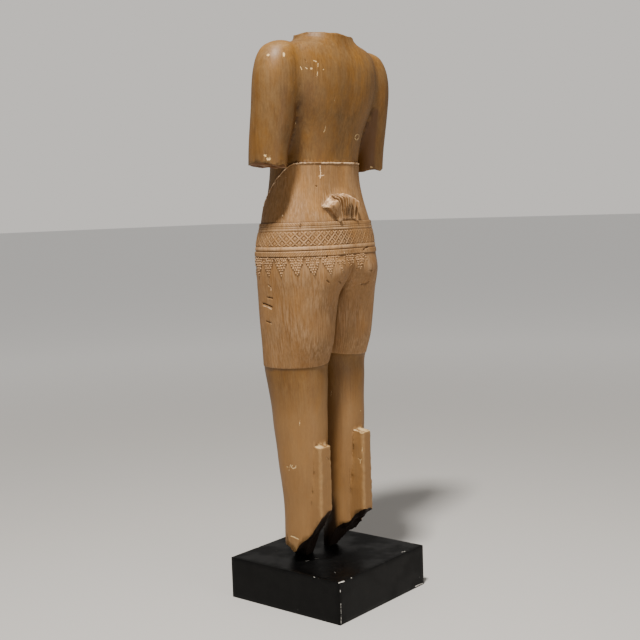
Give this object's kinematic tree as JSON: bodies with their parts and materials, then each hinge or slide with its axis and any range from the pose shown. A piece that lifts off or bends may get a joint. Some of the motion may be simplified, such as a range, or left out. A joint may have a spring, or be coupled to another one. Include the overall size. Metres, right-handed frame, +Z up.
{
  "type": "plaster torso statue",
  "caption": "Standing male deity torso cast in plaster, broken at neck, arms and ankles, in a pleated wrap with belt and fan knot, on a low square plinth",
  "frame": {"origin": "centre of the plinth's underside", "axes": "+Z up; the figure faces -Y, so its back is +Y and its own left side is +X"},
  "size_m": [0.4698, 0.35, 1.3965],
  "materials": {
    "varnished_plaster": "ochre-brown varnish over cast plaster, mottled, glossy on the shoulders",
    "black_paint": "black satin paint on a wooden block, chipped pale along the edges"
  },
  "bodies": {
    "root": {"plaster_figure": "varnished_plaster", "plinth": "black_paint"}
  },
  "joints": []
}
